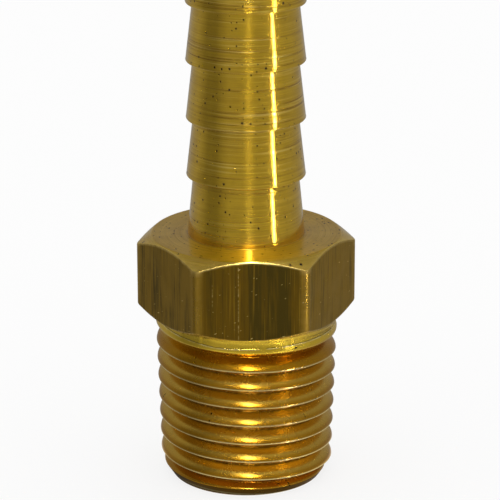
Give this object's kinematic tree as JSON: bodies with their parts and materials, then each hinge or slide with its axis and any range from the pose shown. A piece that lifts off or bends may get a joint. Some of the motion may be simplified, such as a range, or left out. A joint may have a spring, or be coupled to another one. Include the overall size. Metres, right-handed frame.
{
  "type": "hose barb tail",
  "caption": "Turned brass hose tail: barbed stem for a push-on hose, spanner hexagon and left-hand taper pipe thread, with a straight through bore.",
  "frame": {"origin": "centre of the thread end face, on the axis of the bore", "axes": "+Z along the bore axis towards the hose end; -Y is the outward normal of the front hexagon flat"},
  "size_m": [0.016, 0.014, 0.0401],
  "materials": {
    "brass": "as turned, satin, with a darker drawn hexagon"
  },
  "bodies": {
    "root": {"hose_barb_tail": "brass"}
  },
  "joints": []
}
